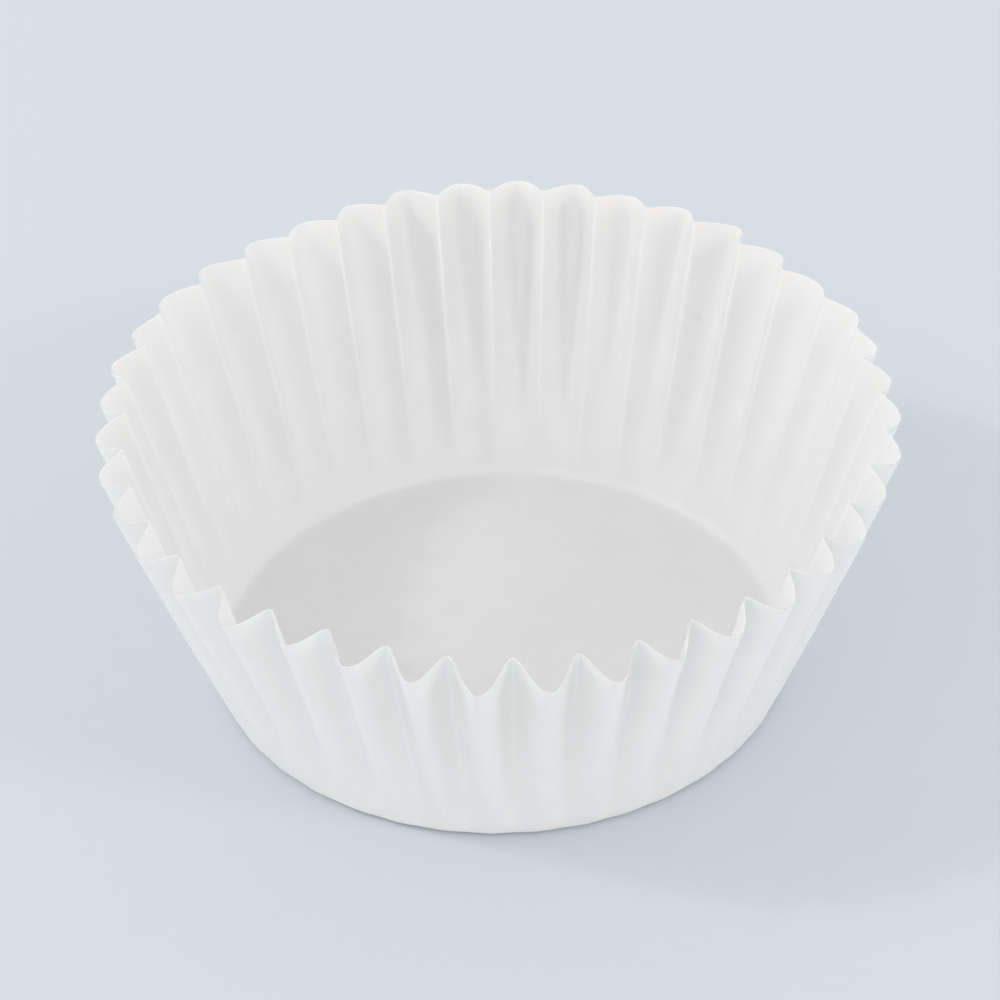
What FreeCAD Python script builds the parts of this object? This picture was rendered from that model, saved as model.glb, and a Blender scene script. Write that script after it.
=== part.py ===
import FreeCAD, Part
import os
from math import sin, cos, tan, pi, radians, hypot, atan2, sqrt

# Cupcake liner: a round blank of thin greaseproof paper, pressed between fluted dies into a
# flared cup with a flat bottom. It is one sheet: the wall, the fold round the bottom and the
# bottom itself are the same paper, so it is one solid of constant thickness.
#
# Millimetres. Origin at the centre of the underside, +Z up through the open mouth.

# ---- driving dimensions ----
paper = 0.07            # thickness of the sheet
bottom_radius = 25.0    # where the line of the wall meets the plane of the bottom (50 mm liner)
rim_radius = 34.57      # flute crests at the rim, middle of the sheet
crest_height = 25.36    # rim height on a crest (the crests lean out further, so they end lower)
crease_radius = 32.09   # inward creases at the rim
crease_height = 26.35   # rim height on a crease
fold_radius = 1.2       # bend of the paper between the bottom and the wall
flutes = 40
flute_growth = 0.72     # the depth of the flutes grows with height to this power
flute_start = 0.055     # the flutes come up out of the wall about this part of its length above the fold
flute_fade = 0.030      # and over about this part

# The blank was laid into the press a little off centre, so the paper reaches further up one side:
# a wave round the rim, mean, cos az, sin az, cos 2az, sin 2az.
reach_wave = (0.0, -0.16, 0.39, -0.16, 0.20)        # added to the wall's length, mm

# The press leaves the flutes a little uneven, and fuller at the sides and the back than at the front.
# For each flute: azimuth of the crease that starts it (degrees, counted clockwise seen from above),
# how far that crease leans out past its nominal slant, how far the crest after it does (degrees),
# fullness (exponent of the section: below 1 gives a wide crest) and rounding of the creases.
flute_table = [
    (206.36, 0.06, -0.58, 0.86, 0.15), (197.08, -0.08, -0.85, 0.68, 0.14), (187.94, -0.48, -1.11, 0.60, 0.14),
    (178.88, -1.04, -1.27, 0.63, 0.14), (169.95, 0.40, -0.74, 0.89, 0.14), (161.24, -0.01, -0.86, 0.98, 0.15),
    (152.38, 2.02, -0.41, 0.95, 0.14), (143.21, 0.11, -0.78, 0.97, 0.15), (134.04, -1.25, -1.93, 0.98, 0.15),
    (125.28, -1.41, -3.01, 0.97, 0.14), (116.52, -2.31, -1.74, 0.96, 0.14), (107.68, -1.43, 0.60, 0.93, 0.14),
    (98.75, -0.97, 0.47, 0.97, 0.15), (90.23, -0.77, 1.08, 0.94, 0.14), (81.33, -0.61, 0.86, 0.97, 0.14),
    (72.52, -0.98, -1.65, 0.97, 0.14), (63.92, -1.04, -1.00, 0.98, 0.15), (55.22, -0.59, -0.14, 0.99, 0.15),
    (45.73, -1.28, -1.99, 0.99, 0.15), (36.19, -1.12, -2.18, 0.94, 0.14), (27.03, 1.13, -0.30, 0.91, 0.14),
    (18.44, 2.73, -0.78, 0.87, 0.14), (10.42, 0.54, -0.71, 0.64, 0.14), (2.45, 2.00, -0.10, 0.60, 0.14),
    (-6.25, 2.69, 0.32, 0.60, 0.14), (-15.51, 0.74, -0.12, 0.60, 0.14), (-25.03, 0.20, 0.57, 0.62, 0.14),
    (-34.04, 0.30, 0.41, 0.66, 0.14), (-43.03, 0.60, 0.92, 0.77, 0.15), (-52.26, 0.60, 1.01, 0.93, 0.18),
    (-61.67, 0.41, 1.32, 1.17, 0.23), (-70.53, 1.09, 2.72, 1.39, 0.27), (-79.31, 1.59, 2.78, 1.52, 0.30),
    (-88.54, 1.35, 2.98, 1.57, 0.31), (-97.76, 1.21, 1.27, 1.62, 0.31), (-106.47, 0.69, 0.38, 1.56, 0.30),
    (-115.70, 0.06, -0.48, 1.51, 0.28), (-125.13, 0.01, 0.87, 1.36, 0.25), (-134.52, 0.60, 0.50, 1.19, 0.22),
    (-144.09, 0.50, -0.02, 1.02, 0.18),
]

# ---- derived ----
crest_slant = atan2(rim_radius - bottom_radius, crest_height)
crest_length = hypot(rim_radius - bottom_radius, crest_height)
crease_slant = atan2(crease_radius - bottom_radius, crease_height)
crease_length = hypot(crease_radius - bottom_radius, crease_height)
mid = paper / 2.0


def wave(c, az):
    return c[0] + c[1] * cos(az) + c[2] * sin(az) + c[3] * cos(2 * az) + c[4] * sin(2 * az)


def flute_section(p, fullness, rounding):
    """0 on a crease, 1 on a crest; p runs 0 to 1 over one flute."""
    g = lambda x: (sin(pi * x) ** 2 + rounding ** 2) ** (fullness / 2.0)
    return (g(p) - g(0.0)) / (g(0.5) - g(0.0))


def depth_law(s):
    """Depth of the flutes at s, 0 at the start of the fold and 1 at the rim."""
    up_to = lambda x: (sqrt((x - flute_start) ** 2 + flute_fade ** 2) + x - flute_start) / 2.0
    return (up_to(s) / up_to(1.0)) ** flute_growth


def wall_path(length_to_rim, rise, s):
    """Radius and height of the unfluted wall: flat bottom, fold, then a straight slant.
    rise is the wall's angle above the horizontal; s runs 0 to 1."""
    back = fold_radius * tan(rise / 2.0)
    arc = fold_radius * rise
    straight = length_to_rim - back
    total = arc + straight
    d = s * total
    r_start = bottom_radius - back
    if d <= arc:
        a = d / fold_radius
        return r_start + fold_radius * sin(a), fold_radius * (1 - cos(a))
    d -= arc
    return (r_start + fold_radius * sin(rise) + d * cos(rise),
            fold_radius * (1 - cos(rise)) + d * sin(rise))


def sheet_point(k, p, s):
    """Middle of the sheet in flute k, at p across it and s up it."""
    az0, lean0, _, fullness, rounding = flute_table[k]
    az1, lean1 = flute_table[(k + 1) % flutes][:2]
    if k == flutes - 1:
        az1 -= 360.0
    az = radians(az0 + (az1 - az0) * p)
    a = crease_slant + radians(lean0 * (1 - p) + lean1 * p)
    b = crest_slant + radians(crest_lean_at(k, p))
    reach = wave(reach_wave, az)
    rc, zc = bottom_radius + (crease_length + reach) * sin(a), (crease_length + reach) * cos(a)
    rl, zl = bottom_radius + (crest_length + reach) * sin(b), (crest_length + reach) * cos(b)
    mr, mz = (rc + rl) / 2.0, (zc + zl) / 2.0
    rise = atan2(mz, mr - bottom_radius)
    r, z = wall_path(hypot(mz, mr - bottom_radius), rise, s)
    w = (2.0 * flute_section(p, fullness, rounding) - 1.0) * depth_law(s)
    r += w * (rl - rc) / 2.0
    z += w * (zl - zc) / 2.0 * min(1.0, s / 0.12)
    return (r * cos(az), r * sin(az), z + mid)


def crest_lean_at(k, p):
    """The crest leans change smoothly from flute to flute, meeting on the creases."""
    here = flute_table[k][2]
    before = flute_table[(k - 1) % flutes][2]
    after = flute_table[(k + 1) % flutes][2]
    if p < 0.5:
        t = 0.5 - p
        return here + (before - here) * t * t * 2.0
    t = p - 0.5
    return here + (after - here) * t * t * 2.0


def sub(a, b):
    return (a[0] - b[0], a[1] - b[1], a[2] - b[2])


def cross(a, b):
    return (a[1] * b[2] - a[2] * b[1], a[2] * b[0] - a[0] * b[2], a[0] * b[1] - a[1] * b[0])


def sheet_normal(k, p, s):
    """Outward unit normal of the sheet. On a crease it is the mean of the two flutes', so that
    neighbouring faces share their edge."""
    if s <= 0.0:
        return (0.0, 0.0, -1.0)
    h = 1e-4
    hs = 1e-4

    def one(kk, pp, side):
        if side == 0:
            q0, q1 = sheet_point(kk, pp - h, s), sheet_point(kk, pp + h, s)
        elif side > 0:
            q0, q1 = sheet_point(kk, pp, s), sheet_point(kk, pp + h, s)
        else:
            q0, q1 = sheet_point(kk, pp - h, s), sheet_point(kk, pp, s)
        s0, s1 = max(0.0, s - hs), min(1.0, s + hs)
        v0, v1 = sheet_point(kk, pp, s0), sheet_point(kk, pp, s1)
        n = cross(sub(v1, v0), sub(q1, q0))
        m = sqrt(n[0] ** 2 + n[1] ** 2 + n[2] ** 2)
        return (n[0] / m, n[1] / m, n[2] / m)

    if p <= 0.0:
        a, b = one(k, 0.0, 1), one((k - 1) % flutes, 1.0, -1)
    elif p >= 1.0:
        a, b = one(k, 1.0, -1), one((k + 1) % flutes, 0.0, 1)
    else:
        return one(k, p, 0)
    n = (a[0] + b[0], a[1] + b[1], a[2] + b[2])
    m = sqrt(n[0] ** 2 + n[1] ** 2 + n[2] ** 2)
    return (n[0] / m, n[1] / m, n[2] / m)


# ---- spline faces through points of the sheet ----
across = [0.0, 0.02, 0.045, 0.08, 0.13, 0.20, 0.29, 0.39, 0.50]
across = across + [1.0 - p for p in reversed(across[:-1])]
arc_share = fold_radius * (pi / 2 - (crest_slant + crease_slant) / 2) / (crest_length + fold_radius)
up = [0.0, arc_share * 0.25, arc_share * 0.5, arc_share * 0.75, arc_share, arc_share * 1.3,
      arc_share * 1.8, 0.14, 0.21, 0.30, 0.41, 0.53, 0.66, 0.80, 0.91, 1.0]


def knot_vector(params):
    n = len(params) - 1
    inner = [(params[j] + params[j + 1] + params[j + 2]) / 3.0 for j in range(1, n - 2)]
    return [params[0]] * 4 + inner + [params[-1]] * 4


def basis(i, d, t, kn):
    if d == 0:
        last = kn[i + 1] == kn[-1]
        return 1.0 if kn[i] <= t < kn[i + 1] or (last and t == kn[i + 1] and kn[i] < kn[i + 1]) else 0.0
    a = 0.0 if kn[i + d] == kn[i] else (t - kn[i]) / (kn[i + d] - kn[i]) * basis(i, d - 1, t, kn)
    b = 0.0 if kn[i + d + 1] == kn[i + 1] else (kn[i + d + 1] - t) / (kn[i + d + 1] - kn[i + 1]) * basis(i + 1, d - 1, t, kn)
    return a + b


def inverse(m):
    n = len(m)
    a = [row[:] + [1.0 if i == j else 0.0 for j in range(n)] for i, row in enumerate(m)]
    for c in range(n):
        piv = max(range(c, n), key=lambda i: abs(a[i][c]))
        a[c], a[piv] = a[piv], a[c]
        f = a[c][c]
        a[c] = [x / f for x in a[c]]
        for i in range(n):
            if i != c and a[i][c] != 0.0:
                f = a[i][c]
                a[i] = [x - f * y for x, y in zip(a[i], a[c])]
    return [row[n:] for row in a]


def split_knots(kn):
    vals, mults = [], []
    for k in kn:
        if vals and abs(k - vals[-1]) < 1e-12:
            mults[-1] += 1
        else:
            vals.append(k)
            mults.append(1)
    return vals, mults


ku, kv = knot_vector(across), knot_vector(up)
iu = inverse([[basis(j, 3, t, ku) for j in range(len(across))] for t in across])
iv = inverse([[basis(j, 3, t, kv) for j in range(len(up))] for t in up])
uk, um = split_knots(ku)
vk, vm = split_knots(kv)


def poles_of(grid):
    nu, nv = len(across), len(up)
    half = [[[sum(iu[i][a] * grid[a][j][c] for a in range(nu)) for c in range(3)] for j in range(nv)] for i in range(nu)]
    return [[FreeCAD.Vector(*[sum(iv[j][b] * half[i][b][c] for b in range(nv)) for c in range(3)]) for j in range(nv)] for i in range(nu)]


def spline_face(poles):
    surf = Part.BSplineSurface()
    surf.buildFromPolesMultsKnots(poles, um, vm, uk, vk, False, False, 3, 3)
    return surf.toShape()


def strip_face(row_a, row_b, knots, mults):
    """Ruled face between two boundary curves that have the same knots."""
    surf = Part.BSplineSurface()
    surf.buildFromPolesMultsKnots([[a, b] for a, b in zip(row_a, row_b)], mults, [2, 2], knots, [0.0, 1.0],
                                  False, False, 3, 1)
    return surf.toShape()


def curve_edge(row):
    c = Part.BSplineCurve()
    c.buildFromPolesMultsKnots(row, um, uk, False, 3)
    return c.toShape()


faces, under_edges, floor_edges = [], [], []
for k in range(flutes):
    pts = [[sheet_point(k, p, s) for s in up] for p in across]
    nor = [[sheet_normal(k, p, s) for s in up] for p in across]
    outer = [[tuple(pts[i][j][c] + mid * nor[i][j][c] for c in range(3)) for j in range(len(up))] for i in range(len(across))]
    inner = [[tuple(pts[i][j][c] - mid * nor[i][j][c] for c in range(3)) for j in range(len(up))] for i in range(len(across))]
    po, pi_ = poles_of(outer), poles_of(inner)
    faces.append(spline_face(po))
    faces.append(spline_face(pi_))
    # cut edge of the paper along the rim
    faces.append(strip_face([row[-1] for row in po], [row[-1] for row in pi_], uk, um))
    under_edges.append(curve_edge([row[0] for row in po]))
    floor_edges.append(curve_edge([row[0] for row in pi_]))

# flat bottom: underside and floor
faces.append(Part.Face(Part.Wire(Part.__sortEdges__(under_edges))))
faces.append(Part.Face(Part.Wire(Part.__sortEdges__(floor_edges))))

shell = Part.Shell(faces)
shell.sewShape()
liner = Part.Solid(Part.Shell(shell.Faces))
if liner.Volume < 0:
    liner.reverse()
liner.fix(1e-5, 1e-5, 1e-4)

os.makedirs("parts", exist_ok=True)
liner.exportStep("parts/paper_liner.step")

b = liner.BoundBox
print("valid", liner.isValid(), "closed", liner.Shells[0].isClosed(), "faces", len(liner.Faces), "solids", len(liner.Solids))
print("box  x %.3f..%.3f  y %.3f..%.3f  z %.3f..%.3f" % (b.XMin, b.XMax, b.YMin, b.YMax, b.ZMin, b.ZMax))
print("volume %.2f mm3, sheet area %.0f mm2, blank of that area: %.1f mm across" % (
    liner.Volume, liner.Volume / paper, 2 * sqrt(liner.Volume / paper / pi)))
print("paper along a crest, centre to rim: %.2f mm" % (bottom_radius - 2 * fold_radius * tan((pi / 2 - crest_slant) / 2)
      + fold_radius * (pi / 2 - crest_slant) + crest_length))
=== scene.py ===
import bpy, math
import numpy as np
from mathutils import Matrix, Vector


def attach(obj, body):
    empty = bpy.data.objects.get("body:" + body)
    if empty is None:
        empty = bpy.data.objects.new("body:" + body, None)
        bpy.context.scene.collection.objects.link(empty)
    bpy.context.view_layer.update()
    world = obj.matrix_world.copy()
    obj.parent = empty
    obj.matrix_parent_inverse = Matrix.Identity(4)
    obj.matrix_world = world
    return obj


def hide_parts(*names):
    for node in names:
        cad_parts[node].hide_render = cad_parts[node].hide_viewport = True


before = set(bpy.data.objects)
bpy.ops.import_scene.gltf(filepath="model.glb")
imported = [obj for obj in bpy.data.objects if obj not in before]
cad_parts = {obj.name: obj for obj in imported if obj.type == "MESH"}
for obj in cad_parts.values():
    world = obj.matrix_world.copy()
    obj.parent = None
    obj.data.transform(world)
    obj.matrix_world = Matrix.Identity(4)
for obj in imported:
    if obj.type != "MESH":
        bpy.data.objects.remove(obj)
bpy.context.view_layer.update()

# ---------------------------------------------------------------- the sheet's shape, millimetres
PAPER = 0.07
BOTTOM_R = 25.0
RIM_R = 34.57
CREST_H = 25.36
CREASE_R = 32.09
CREASE_H = 26.35
FOLD_R = 1.2
FLUTES = 40
GROWTH = 0.72
START = 0.080
FADE = 0.035
REACH = (0.0, -0.16, 0.39, -0.16, 0.20)
FLUTE_TABLE = np.array([
    (206.36, 0.06, -0.58, 0.86, 0.15), (197.08, -0.08, -0.85, 0.68, 0.14), (187.94, -0.48, -1.11, 0.60, 0.14),
    (178.88, -1.04, -1.27, 0.63, 0.14), (169.95, 0.40, -0.74, 0.89, 0.14), (161.24, -0.01, -0.86, 0.98, 0.15),
    (152.38, 2.02, -0.41, 0.95, 0.14), (143.21, 0.11, -0.78, 0.97, 0.15), (134.04, -1.25, -1.93, 0.98, 0.15),
    (125.28, -1.41, -3.01, 0.97, 0.14), (116.52, -2.31, -1.74, 0.96, 0.14), (107.68, -1.43, 0.60, 0.93, 0.14),
    (98.75, -0.97, 0.47, 0.97, 0.15), (90.23, -0.77, 1.08, 0.94, 0.14), (81.33, -0.61, 0.86, 0.97, 0.14),
    (72.52, -0.98, -1.65, 0.97, 0.14), (63.92, -1.04, -1.00, 0.98, 0.15), (55.22, -0.59, -0.14, 0.99, 0.15),
    (45.73, -1.28, -1.99, 0.99, 0.15), (36.19, -1.12, -2.18, 0.94, 0.14), (27.03, 1.13, -0.30, 0.91, 0.14),
    (18.44, 2.73, -0.78, 0.87, 0.14), (10.42, 0.54, -0.71, 0.64, 0.14), (2.45, 2.00, -0.10, 0.60, 0.14),
    (-6.25, 2.69, 0.32, 0.60, 0.14), (-15.51, 0.74, -0.12, 0.60, 0.14), (-25.03, 0.20, 0.57, 0.62, 0.14),
    (-34.04, 0.30, 0.41, 0.66, 0.14), (-43.03, 0.60, 0.92, 0.77, 0.15), (-52.26, 0.60, 1.01, 0.93, 0.18),
    (-61.67, 0.41, 1.32, 1.17, 0.23), (-70.53, 1.09, 2.72, 1.39, 0.27), (-79.31, 1.59, 2.78, 1.52, 0.30),
    (-88.54, 1.35, 2.98, 1.57, 0.31), (-97.76, 1.21, 1.27, 1.62, 0.31), (-106.47, 0.69, 0.38, 1.56, 0.30),
    (-115.70, 0.06, -0.48, 1.51, 0.28), (-125.13, 0.01, 0.87, 1.36, 0.25), (-134.52, 0.60, 0.50, 1.19, 0.22),
    (-144.09, 0.50, -0.02, 1.02, 0.18),
])

CREST_SLANT = math.atan2(RIM_R - BOTTOM_R, CREST_H)
CREST_LEN = math.hypot(RIM_R - BOTTOM_R, CREST_H)
CREASE_SLANT = math.atan2(CREASE_R - BOTTOM_R, CREASE_H)
CREASE_LEN = math.hypot(CREASE_R - BOTTOM_R, CREASE_H)


def wave(c, az):
    return c[0] + c[1] * np.cos(az) + c[2] * np.sin(az) + c[3] * np.cos(2 * az) + c[4] * np.sin(2 * az)


def section(p, n, e):
    g = lambda x: (np.sin(np.pi * x) ** 2 + e ** 2) ** (n / 2)
    return (g(p) - g(0.0)) / (g(0.5) - g(0.0))


def depth_law(s):
    up_to = lambda x: (np.sqrt((x - START) ** 2 + FADE ** 2) + x - START) / 2
    return (up_to(s) / up_to(1.0)) ** GROWTH


def sheet(k, p, s):
    """Middle of the sheet in flute k (array), p across it, s up it (arrays of one shape). Millimetres."""
    k = np.asarray(k) % FLUTES
    az0, az1 = FLUTE_TABLE[k, 0], FLUTE_TABLE[(k + 1) % FLUTES, 0]
    az1 = np.where(k == FLUTES - 1, az1 - 360.0, az1)
    az = np.radians(az0 + (az1 - az0) * p)
    lean = FLUTE_TABLE[k, 1] * (1 - p) + FLUTE_TABLE[(k + 1) % FLUTES, 1] * p
    here, before, after = FLUTE_TABLE[k, 2], FLUTE_TABLE[(k - 1) % FLUTES, 2], FLUTE_TABLE[(k + 1) % FLUTES, 2]
    t = np.abs(p - 0.5)
    crest = here + (np.where(p < 0.5, before, after) - here) * t * t * 2.0
    a = CREASE_SLANT + np.radians(lean)
    b = CREST_SLANT + np.radians(crest)
    reach = wave(REACH, az)
    rc, zc = BOTTOM_R + (CREASE_LEN + reach) * np.sin(a), (CREASE_LEN + reach) * np.cos(a)
    rl, zl = BOTTOM_R + (CREST_LEN + reach) * np.sin(b), (CREST_LEN + reach) * np.cos(b)
    mr, mz = (rc + rl) / 2, (zc + zl) / 2
    rise = np.arctan2(mz, mr - BOTTOM_R)
    back = FOLD_R * np.tan(rise / 2)
    arc = FOLD_R * rise
    d = s * (arc + np.hypot(mz, mr - BOTTOM_R) - back)
    r_start = BOTTOM_R - back
    on_arc = d <= arc
    ang = np.minimum(d, arc) / FOLD_R
    over = np.maximum(d - arc, 0.0)
    r = r_start + FOLD_R * np.sin(ang) + over * np.cos(rise)
    z = FOLD_R * (1 - np.cos(ang)) + over * np.sin(rise)
    w = (2 * section(p, FLUTE_TABLE[k, 3], FLUTE_TABLE[k, 4]) - 1) * depth_law(s)
    r = r + w * (rl - rc) / 2
    z = z + w * (zl - zc) / 2 * np.minimum(1.0, s / 0.12)
    return np.stack([r * np.cos(az), r * np.sin(az), z + PAPER / 2], -1)


# ---------------------------------------------------------------- mesh of the sheet, both faces and the cut edge
ACROSS = 24          # columns per flute
x = np.arange(ACROSS) / ACROSS
P_COL = x - 0.55 / (2 * np.pi) * np.sin(2 * np.pi * x)      # closer together at the creases
K = np.repeat(np.arange(FLUTES), ACROSS)
P = np.tile(P_COL, FLUTES)
N = len(K)
arc_share = FOLD_R * (math.pi / 2 - (CREST_SLANT + CREASE_SLANT) / 2) / (CREST_LEN + FOLD_R)
S_ROW = np.concatenate([arc_share * np.linspace(0, 1, 7)[:-1], arc_share + (1 - arc_share) * np.linspace(0, 1, 33) ** 1.15])
rows = []
for s in S_ROW:
    rows.append(sheet(K, P, np.full(N, s)))
MID = np.stack(rows)                                        # rows, columns, xyz


def grid_normals(g):
    du = np.roll(g, -1, 1) - np.roll(g, 1, 1)
    dv = np.empty_like(g)
    dv[1:-1] = g[2:] - g[:-2]
    dv[0], dv[-1] = g[1] - g[0], g[-1] - g[-2]
    n = np.cross(dv, du)
    return n / np.linalg.norm(n, axis=-1, keepdims=True)


NOR = grid_normals(MID)
NOR[0] = (0, 0, -1)
OUTER = MID + NOR * PAPER / 2
INNER = MID - NOR * PAPER / 2

verts, faces = [], []


def add_rows(g):
    base = sum(len(v) for v in verts)
    verts.append(g.reshape(-1, 3))
    return base


def ring_faces(b0, b1, flip):
    out = []
    for i in range(N):
        j = (i + 1) % N
        q = (b0 + i, b0 + j, b1 + j, b1 + i)
        out.append(q if flip else q[::-1])
    return out


NR = len(S_ROW)
bo = add_rows(OUTER)
bi = add_rows(INNER)
for r in range(NR - 1):
    faces += ring_faces(bo + r * N, bo + (r + 1) * N, False)
    faces += ring_faces(bi + r * N, bi + (r + 1) * N, True)
faces += ring_faces(bo + (NR - 1) * N, bi + (NR - 1) * N, False)
n_wall = len(faces)


def close_bottom(first, z, down):
    """Rings from the fold's start to the centre, with fewer corners each time."""
    ring, n = first, N
    r_start = float(np.hypot(*OUTER[0, 0, :2]))
    az = np.arctan2(OUTER[0, :, 1], OUTER[0, :, 0])
    for r in (22.6, 19.5, 15.0, 9.0, 4.0):
        if n % 2 == 0 and n > 60:
            az = az[::2]
            m = n // 2
            b = add_rows(np.stack([r * np.cos(az), r * np.sin(az), np.full(m, z)], -1))
            for i in range(m):
                a0, a1, a2 = ring + 2 * i, ring + 2 * i + 1, ring + (2 * i + 2) % n
                c0, c1 = b + i, b + (i + 1) % m
                for f in ((a0, a1, c0), (a1, a2, c1, c0)):
                    faces.append(f if down else f[::-1])
            n = m
        else:
            b = add_rows(np.stack([r * np.cos(az), r * np.sin(az), np.full(n, z)], -1))
            for i in range(n):
                f = (ring + i, ring + (i + 1) % n, b + (i + 1) % n, b + i)
                faces.append(f if down else f[::-1])
        ring = b
    c = add_rows(np.array([[0.0, 0.0, z]]))
    for i in range(n):
        f = (ring + i, ring + (i + 1) % n, c)
        faces.append(f if down else f[::-1])


close_bottom(bo, 0.0, True)
close_bottom(bi, PAPER, False)

V = np.concatenate(verts) * 0.001
me = bpy.data.meshes.new("liner")
me.from_pydata(V.tolist(), [], faces)
me.validate()
me.update()
liner = bpy.data.objects.new("liner", me)
bpy.context.collection.objects.link(liner)
me.shade_smooth()
# the cut edge of the paper stays sharp
sharp = np.zeros(len(me.edges), bool)
ev = np.empty(len(me.edges) * 2, np.int32)
me.edges.foreach_get("vertices", ev)
ev = ev.reshape(-1, 2)
for b in (bo + (NR - 1) * N, bi + (NR - 1) * N):
    on = (ev >= b) & (ev < b + N)
    sharp |= on.all(1)
at = me.attributes.new("sharp_edge", "BOOLEAN", "EDGE")
at.data.foreach_set("value", sharp)

# ---------------------------------------------------------------- paper


def node(nt, kind, x, y, **values):
    n = nt.nodes.new(kind)
    n.location = (x, y)
    for k, v in values.items():
        if k in n.inputs:
            n.inputs[k].default_value = v
        else:
            setattr(n, k, v)
    return n


def paper_material(name, share, through):
    m = bpy.data.materials.new(name)
    m.use_nodes = True
    nt = m.node_tree
    nt.nodes.clear()
    out = node(nt, "ShaderNodeOutputMaterial", 900, 0)
    b = node(nt, "ShaderNodeBsdfPrincipled", 600, 0)
    nt.links.new(b.outputs["BSDF"], out.inputs["Surface"])
    co = node(nt, "ShaderNodeTexCoord", -1000, 0)
    # cloudy formation of the pulp
    cloud = node(nt, "ShaderNodeTexNoise", -700, 200)
    cloud.inputs["Scale"].default_value = 260.0
    cloud.inputs["Detail"].default_value = 4.0
    nt.links.new(co.outputs["Object"], cloud.inputs["Vector"])
    # share below 1 darkens the base colour; on the cut edge this is painted shade
    ramp = node(nt, "ShaderNodeValToRGB", -450, 200)
    ramp.color_ramp.elements[0].position = 0.3
    ramp.color_ramp.elements[0].color = (0.831 * share, 0.825 * share, 0.817 * share, 1)
    ramp.color_ramp.elements[1].position = 0.7
    ramp.color_ramp.elements[1].color = (0.849 * share, 0.843 * share, 0.835 * share, 1)
    nt.links.new(cloud.outputs["Fac"], ramp.inputs["Fac"])
    # two flecks in the sheet: a faint grey smudge on the far wall and a small one towards its left
    colour = ramp.outputs["Color"]
    for k, (at, size, tone) in enumerate((((0.01848, 0.02451, 0.01751), 0.00075, 0.955), ((-0.02306, 0.02164, 0.01973), 0.00022, 0.93))):
        away = node(nt, "ShaderNodeVectorMath", -450, -100 - 300 * k, operation="DISTANCE")
        away.inputs[1].default_value = at
        nt.links.new(co.outputs["Object"], away.inputs[0])
        fade = node(nt, "ShaderNodeMapRange", -200, -100 - 300 * k, interpolation_type="SMOOTHSTEP")
        fade.inputs["From Min"].default_value = 0.0
        fade.inputs["From Max"].default_value = size
        fade.inputs["To Min"].default_value = tone
        fade.inputs["To Max"].default_value = 1.0
        nt.links.new(away.outputs["Value"], fade.inputs["Value"])
        dim = node(nt, "ShaderNodeVectorMath", 0, 100 - 300 * k, operation="SCALE")
        nt.links.new(colour, dim.inputs[0])
        nt.links.new(fade.outputs["Result"], dim.inputs["Scale"])
        colour = dim.outputs[0]
    nt.links.new(colour, b.inputs["Base Color"])
    # the fibres: a little less or more sheen and a very fine tooth
    fibre = node(nt, "ShaderNodeTexNoise", -700, -700)
    fibre.inputs["Scale"].default_value = 2600.0
    fibre.inputs["Detail"].default_value = 2.0
    nt.links.new(co.outputs["Object"], fibre.inputs["Vector"])
    rough = node(nt, "ShaderNodeMapRange", -200, -700)
    rough.inputs["To Min"].default_value = 0.54
    rough.inputs["To Max"].default_value = 0.68
    nt.links.new(fibre.outputs["Fac"], rough.inputs["Value"])
    nt.links.new(rough.outputs["Result"], b.inputs["Roughness"])
    tooth = node(nt, "ShaderNodeBump", 200, -700)
    tooth.inputs["Strength"].default_value = 0.25
    tooth.inputs["Distance"].default_value = 0.00001
    nt.links.new(fibre.outputs["Fac"], tooth.inputs["Height"])
    nt.links.new(tooth.outputs["Normal"], b.inputs["Normal"])
    # light that goes through the thin sheet
    b.subsurface_method = "BURLEY"
    b.inputs["Subsurface Weight"].default_value = through
    b.inputs["Subsurface Radius"].default_value = (1.0, 1.0, 1.0)
    b.inputs["Subsurface Scale"].default_value = 0.00010
    return m


liner.data.materials.append(paper_material("liner_paper", 1.0, 1.0))
# painted shade: the cut edge of the sheet gets a base colour 0.84 times as dark as its faces, and no light through it,
# to hold down the bright line along the rim
liner.data.materials.append(paper_material("liner_paper_cut_painted_shade", 0.84, 0.0))
for k in range(2 * (NR - 1) * N, n_wall):
    me.polygons[k].material_index = 1
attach(liner, "root")
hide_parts("paper_liner")

# ---------------------------------------------------------------- floor
size = 1.2
fm = bpy.data.meshes.new("floor")
fm.from_pydata([(-size, -size, 0), (size, -size, 0), (size, size, 0), (-size, size, 0)], [], [(0, 1, 2, 3)])
floor = bpy.data.objects.new("floor", fm)
bpy.context.collection.objects.link(floor)
mat = bpy.data.materials.new("pale_floor")
mat.use_nodes = True
mat.node_tree.nodes["Principled BSDF"].inputs["Base Color"].default_value = (0.683, 0.734, 0.770, 1)
mat.node_tree.nodes["Principled BSDF"].inputs["Roughness"].default_value = 0.9
fm.materials.append(mat)

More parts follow.
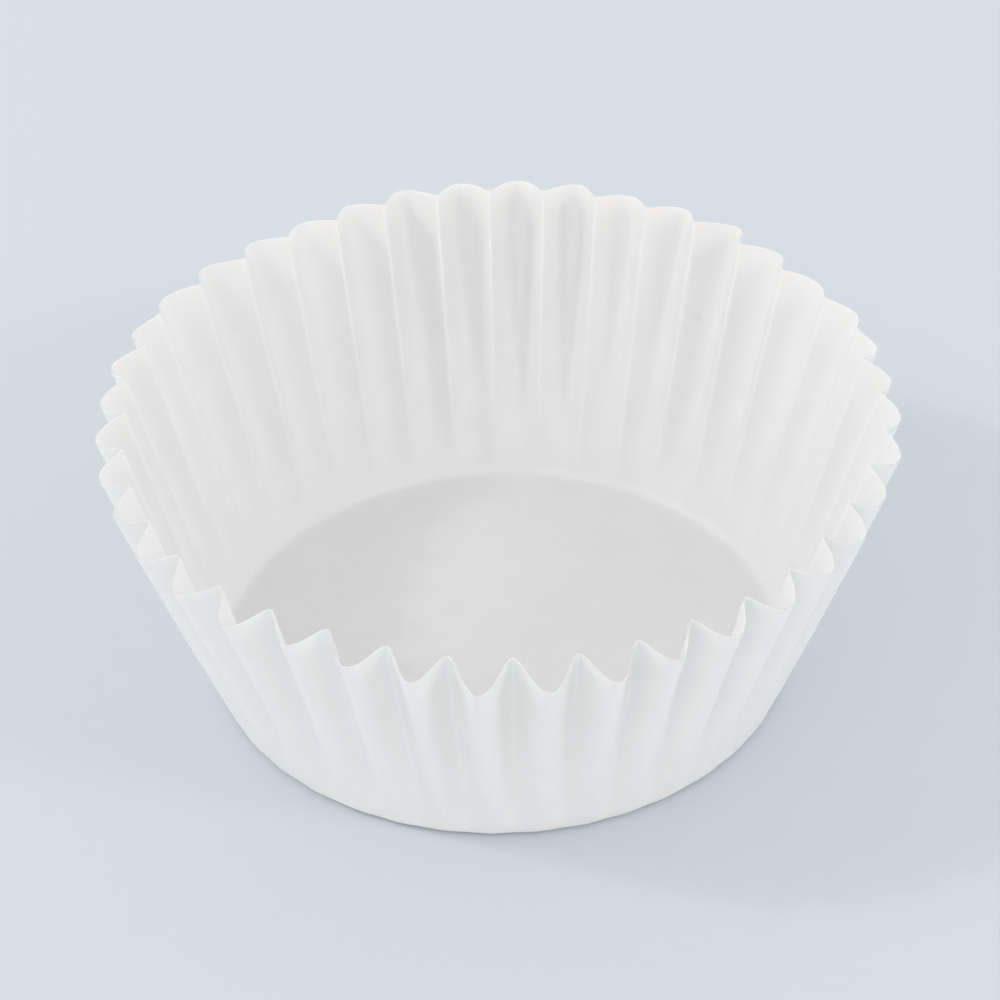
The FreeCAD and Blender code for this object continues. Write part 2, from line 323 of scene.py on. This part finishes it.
# ---------------------------------------------------------------- light
# a light tent: even white all round, brighter low down, and three large soft lamps
EVEN = (0.654, 0.664, 0.676)
TOWARDS = 75.0     # azimuth that the ring of light is measured from; 1 looks that way, -1 away from it
RING = [           # place on that scale, light
    (-1.00, (0.60, 0.60, 0.60)), (-0.94, (0.57, 0.57, 0.57)), (-0.80, (0.32, 0.32, 0.32)), (-0.50, (0.30, 0.30, 0.30)),
    (-0.26, (0.26, 0.26, 0.26)), (0.26, (0.57, 0.57, 0.57)), (1.00, (0.55, 0.55, 0.55)),
]
HEIGHT = [(0.0, 0.92), (0.17, 1.0), (0.5, 0.72), (0.77, 0.28), (0.94, 0.03), (1.0, 0.0)]   # sine of the elevation, share of it
LAMPS = [  # name, azimuth, elevation, distance, diameter, irradiance, colour
    ("lamp_left", 185, 42, 1.0, 0.36, 0.18, (1.0, 1.0, 1.0)),
    ("lamp_key", 184, 46, 1.0, 0.07, 0.26, (1.0, 1.0, 1.0)),
    ("lamp_right", -34, 35, 1.0, 0.20, 0.30, (1.0, 1.0, 1.0)),
    ("lamp_front", -125, 40, 1.0, 0.60, 0.10, (1.0, 1.0, 1.0)),
    ("lamp_low_left", -128, 3, 1.0, 0.08, 0.065, (1.0, 0.55, 0.15)),
    ("lamp_low_right", -52, 3, 1.0, 0.08, 0.065, (1.0, 0.55, 0.15)),
]
world = bpy.data.worlds.new("studio")
bpy.context.scene.world = world
world.use_nodes = True
wt = world.node_tree
bg = wt.nodes["Background"]
place_of = node(wt, "ShaderNodeTexCoord", -1600, 0)


def ramp_of(stops, x, y):
    r = node(wt, "ShaderNodeValToRGB", x, y)
    e = r.color_ramp.elements
    while len(e) < len(stops):
        e.new(0.5)
    for k, (place, value) in enumerate(stops):
        e[k].position = place
    for k, (place, value) in enumerate(stops):
        e[k].color = tuple(value) + (1,) if isinstance(value, tuple) else (value, value, value, 1)
    return r


a = math.radians(TOWARDS)
side = node(wt, "ShaderNodeVectorMath", -1300, 0, operation="DOT_PRODUCT")
side.inputs[1].default_value = (math.cos(a), math.sin(a), 0)
wt.links.new(place_of.outputs["Generated"], side.inputs[0])
half = node(wt, "ShaderNodeMath", -1100, 0, operation="MULTIPLY_ADD")
half.inputs[1].default_value = 0.5
half.inputs[2].default_value = 0.5
wt.links.new(side.outputs["Value"], half.inputs[0])
round_about = ramp_of([((s + 1) / 2, v) for s, v in RING], -900, 0)
wt.links.new(half.outputs[0], round_about.inputs["Fac"])
axes = node(wt, "ShaderNodeSeparateXYZ", -1100, -300)
wt.links.new(place_of.outputs["Generated"], axes.inputs[0])
upward = ramp_of(HEIGHT, -900, -300)
wt.links.new(axes.outputs["Z"], upward.inputs["Fac"])
total = node(wt, "ShaderNodeVectorMath", -400, 0, operation="MULTIPLY_ADD")
wt.links.new(round_about.outputs["Color"], total.inputs[0])
wt.links.new(upward.outputs["Color"], total.inputs[1])
total.inputs[2].default_value = EVEN
wt.links.new(total.outputs[0], bg.inputs["Color"])
bg.inputs["Strength"].default_value = 1.0


def soft_lamp(name, azimuth, elevation, distance, diameter, irradiance, colour):
    li = bpy.data.lights.new(name, "AREA")
    li.shape = "DISK"
    li.size = diameter
    # a lamp of this power gives this irradiance on a sheet that faces it from the middle of the floor
    li.energy = irradiance * math.pi * distance * distance
    li.color = colour
    ob = bpy.data.objects.new(name, li)
    bpy.context.collection.objects.link(ob)
    a, e = math.radians(azimuth), math.radians(elevation)
    p = Vector((math.cos(a) * math.cos(e), math.sin(a) * math.cos(e), math.sin(e))) * distance
    ob.location = p
    ob.rotation_euler = (-p).to_track_quat("-Z", "Y").to_euler()
    ob.visible_camera = False
    return ob


for row in LAMPS:
    soft_lamp(*row)

# ---------------------------------------------------------------- camera, as the photograph was taken
R = 0.0345725
f_px, dist, elev, roll, tx, tz = 4621.2, 11.5346, 0.66297, -0.026789, 0.004539, 0.474423
w = Vector((0, math.cos(elev), -math.sin(elev)))
u = Vector((1, 0, 0))
v = Vector((0, math.sin(elev), math.cos(elev)))
c, s = math.cos(roll), math.sin(roll)
right, up = c * u + s * v, -s * u + c * v
cam = bpy.data.cameras.new("camera")
cam.sensor_width = 36.0
cam.lens = f_px / 1000.0 * 36.0
cam.clip_start, cam.clip_end = 0.01, 20.0
co = bpy.data.objects.new("camera", cam)
bpy.context.collection.objects.link(co)
place = Vector((tx, 0, tz)) * R - w * dist * R
m = Matrix((right, up, -w)).transposed().to_4x4()
m.translation = place
co.matrix_world = m
bpy.context.scene.camera = co

sc = bpy.context.scene
sc.view_settings.view_transform = "Standard"
sc.view_settings.look = "None"
sc.view_settings.exposure = 0.0
sc.view_settings.gamma = 1.0
